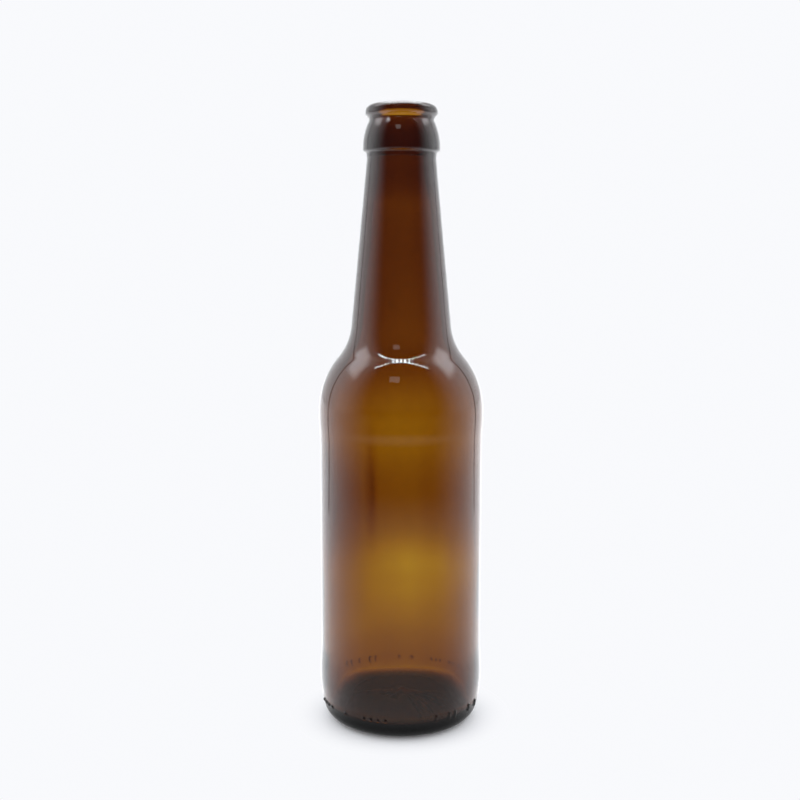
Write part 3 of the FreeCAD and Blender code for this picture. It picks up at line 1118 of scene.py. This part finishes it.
@dataclass(frozen=True)
class LightTent:
    """White tent round the table, open and dark on one side, with a soft box in each side wall.

    Angles are in degrees from the opening, and rises are the Z of a direction.
    """

    name: str = "light_tent"
    ambient: float = 0.95
    opening_foot: float = 0.02
    opening_glow: float = 0.085
    opening_rise: Point = (-0.12, 0.16)
    walls: Point = (46.0, 106.0)
    wall_glow: float = 1.75
    back: Point = (112.0, 160.0)
    back_glow: float = 1.4
    ceiling_lean: float = 15.0
    ceiling: Point = (0.82, 0.95)
    ceiling_glow: float = 8.0
    box_glow: float = 2.7
    box_sides: Window = (80.0, 94.0, 112.0, 126.0)
    box_rises: Window = (0.48, 0.62, 0.76, 0.86)

    def build(self) -> bpy.types.World:
        """Makes the world.

        Returns:
            The tent.
        """
        world = bpy.data.worlds.new(self.name)
        nodes = Nodes(world)
        rays = RayKind(nodes)
        way = nodes.add("SeparateXYZ", {0: nodes.add("TexCoord").outputs["Generated"]}).outputs
        bearing = rays.turned(way["X"], way["Y"])
        turned = nodes.math("DEGREES", bearing)
        dark = nodes.ramp(way["Z"], *self.opening_rise, self.opening_foot, self.opening_glow)
        lit = rays.blend(nodes.ramp(turned, *self.back), self.wall_glow, self.back_glow)
        walls = rays.blend(nodes.ramp(turned, *self.walls), dark, lit)
        walls = nodes.math("MULTIPLY", walls, rays.past_pole(bearing))
        aside = self.window(nodes, turned, self.box_sides)
        boxes = nodes.math("MULTIPLY", aside, self.window(nodes, way["Z"], self.box_rises))
        walls = nodes.math("ADD", walls, nodes.math("MULTIPLY", boxes, self.box_glow))
        lean = math.radians(self.ceiling_lean)
        overhead = nodes.math("MULTIPLY", way["Z"], math.cos(lean))
        overhead = nodes.math("ADD", overhead, nodes.math("MULTIPLY", way["Y"], math.sin(lean)))
        reflected = rays.blend(nodes.ramp(overhead, *self.ceiling), walls, self.ceiling_glow)
        reflected = nodes.math("MULTIPLY", reflected, rays.inner_painted_shade())
        shown = rays.blend(rays.mirrored(), rays.through(), reflected)
        glow = rays.blend(rays.seen(), self.ambient, shown)
        light = nodes.add("Background", {"Color": BACKDROP, "Strength": glow})
        nodes.add("OutputWorld", {"Surface": light.outputs["Background"]})
        return world

    def window(self, nodes: Nodes, value: Socket, edges: Window) -> Socket:
        """Picks out a range with soft ends.

        Args:
            nodes: the world's nodes.
            value: what is tested.
            edges: the four edges in order.

        Returns:
            1 between the two middle edges, and fading to 0 at the outer ones.
        """
        rise = nodes.ramp(value, edges[0], edges[1])
        return nodes.math("MULTIPLY", rise, nodes.ramp(value, edges[2], edges[3], 1.0, 0.0))


@dataclass(frozen=True)
class Emitter:
    """Plain light with one strength all over."""

    name: str
    colour: Colour
    strength: float

    def build(self) -> bpy.types.Material:
        """Makes the material.

        Returns:
            The light.
        """
        lit = bpy.data.materials.new(self.name)
        nodes = Nodes(lit)
        glow = nodes.add("Emission", {"Color": self.colour, "Strength": self.strength})
        nodes.add("OutputMaterial", {"Surface": glow.outputs["Emission"]})
        return lit


@dataclass
class Studio:
    """Table, light tent and lamps round the bottle, in metres."""

    floor_radius: float = 4.0
    floor_sides: int = 96
    floor_gap: float = 0.00003
    side_lamp_bearing: float = 90.0
    side_lamp_height: float = 0.46
    side_lamp_reach: float = 0.40
    side_lamp_size: Point = (0.30, 0.16)
    side_lamp_glow: float = 3.2
    side_lamp_colour: tuple[float, float, float] = (0.96, 0.98, 1.0)
    side_lamp_aim: float = 0.13
    strip_height: float = 0.44
    strip_forward: float = 0.118
    strip_length: float = 0.43
    strip_pitch: float = 0.028
    diode_size: Point = (0.0105, 0.0095)
    diode: Emitter = Emitter("diodes", (0.9, 0.95, 1.0, 1.0), 56.0)
    panel_place: tuple[float, float, float] = (-0.09, -0.43, 0.57)
    panel_size: Point = (0.135, 0.09)
    panel_aim: float = 0.14
    panel: Emitter = Emitter("lamp_panel", (1.0, 0.96, 0.9, 1.0), 1.4)

    def build(self) -> None:
        """Sets up the floor, the world and the lamps."""
        bpy.context.scene.world = LightTent().build()
        self.lay_floor()
        for side in (-1, 1):
            self.hang_side_lamp(side)
        self.hang_strip()
        self.hang_panel()
        LOG.info("studio ready")

    def lay_floor(self) -> None:
        """Lays the table under the bottle."""
        mesh = bmesh.new()
        bmesh.ops.create_circle(mesh, cap_ends=True, segments=self.floor_sides, radius=self.floor_radius)
        bmesh.ops.translate(mesh, verts=mesh.verts, vec=(0, 0, -self.floor_gap))
        self.put_on_stage("table_top", mesh, PaleFloor().build())

    def hang_side_lamp(self, side: int) -> None:
        """Hangs a soft lamp to one side, turned to the bottle's shoulder.

        Args:
            side: -1 for the left and 1 for the right.
        """
        wide, tall = self.side_lamp_size
        lamp = bpy.data.lights.new("side_lamp", "AREA")
        lamp.shape = "RECTANGLE"
        lamp.size, lamp.size_y = wide, tall
        lamp.energy = self.side_lamp_glow * wide * tall * math.pi
        lamp.color = self.side_lamp_colour
        holder = bpy.data.objects.new("side_lamp", lamp)
        bearing = math.radians(self.side_lamp_bearing) * side
        forward = -self.side_lamp_reach * math.cos(bearing)
        holder.location = (self.side_lamp_reach * math.sin(bearing), forward, self.side_lamp_height)
        aim = Vector((0, 0, self.side_lamp_aim)) - holder.location
        holder.rotation_euler = aim.to_track_quat("-Z", "Y").to_euler()
        holder.visible_camera = False
        holder.visible_glossy = False
        holder.visible_transmission = False
        bpy.context.scene.collection.objects.link(holder)

    def hang_strip(self) -> None:
        """Hangs a strip of small diodes across the tent's ceiling."""
        mesh = bmesh.new()
        count = round(self.strip_length / self.strip_pitch)
        for number in range(count):
            across = (number - (count - 1) / 2) * self.strip_pitch
            place = (across, -self.strip_forward, self.strip_height)
            corners = self.lay_plate(mesh, self.diode_size)
            bmesh.ops.translate(mesh, verts=corners, vec=place)
        strip = self.put_on_stage("diode_strip", mesh, self.diode.build())
        strip.visible_camera = False
        strip.visible_transmission = False
        strip.visible_diffuse = False

    def hang_panel(self) -> None:
        """Hangs a small lamp panel over the opening, turned to the bottle."""
        mesh = bmesh.new()
        corners = self.lay_plate(mesh, self.panel_size)
        aim = Vector((0, 0, self.panel_aim)) - Vector(self.panel_place)
        bmesh.ops.rotate(mesh, verts=corners, matrix=aim.to_track_quat("-Z", "Y").to_matrix())
        bmesh.ops.translate(mesh, verts=corners, vec=self.panel_place)
        panel = self.put_on_stage("lamp_panel", mesh, self.panel.build())
        panel.visible_camera = False
        panel.visible_transmission = False

    def lay_plate(self, mesh: Mesh, size: Point) -> list[Vertex]:
        """Adds a flat oblong at the origin.

        Args:
            mesh: the mesh that it is added to.
            size: its width and depth.

        Returns:
            Its corners.
        """
        corners = bmesh.ops.create_grid(mesh, x_segments=1, y_segments=1, size=0.5)["verts"]
        bmesh.ops.scale(mesh, verts=corners, vec=(*size, 1))
        return corners

    def put_on_stage(self, name: str, mesh: Mesh, finish: bpy.types.Material) -> bpy.types.Object:
        """Makes an object of the studio.

        Args:
            name: the object's name.
            mesh: its mesh, which is freed.
            finish: its material.

        Returns:
            The object.
        """
        data = bpy.data.meshes.new(name)
        mesh.to_mesh(data)
        mesh.free()
        data.materials.append(finish)
        item = bpy.data.objects.new(name, data)
        bpy.context.scene.collection.objects.link(item)
        return item


@dataclass
class Viewpoint:
    """The camera: close, a little above the shoulder and looking slightly down.

    Places are in metres, angles in degrees, and the lens and the sensor in millimetres.
    """

    distance: float = 0.4179
    height: float = 0.16896
    sideways: float = -0.0004
    look_down: float = 6.46
    roll: float = 0.1
    lens: float = 50.29
    sensor: float = 36.0
    clips: Point = (0.01, 50.0)

    def build(self) -> None:
        """Makes the scene's camera."""
        data = bpy.data.cameras.new("viewpoint")
        data.lens = self.lens
        data.sensor_width = self.sensor
        data.clip_start, data.clip_end = self.clips
        camera = bpy.data.objects.new("viewpoint", data)
        camera.location = (self.sideways, -self.distance, self.height)
        tilt = Matrix.Rotation(math.radians(90 - self.look_down), 4, "X")
        lean = Matrix.Rotation(math.radians(self.roll), 4, "Z")
        camera.rotation_euler = (tilt @ lean).to_euler()
        bpy.context.scene.collection.objects.link(camera)
        bpy.context.scene.camera = camera
        LOG.info("camera ready")


def main() -> None:
    """Builds the bottle, the studio and the camera in order."""
    logging.basicConfig(level=logging.INFO)
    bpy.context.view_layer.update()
    low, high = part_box("bottle")
    scene = bpy.context.scene
    scene.view_settings.view_transform = "Standard"
    Bottle(height=high[2] / MM, body_radius=(high[0] - low[0]) / 2 / MM).build()
    Studio().build()
    Viewpoint().build()


if __name__ == "__main__":
    main()
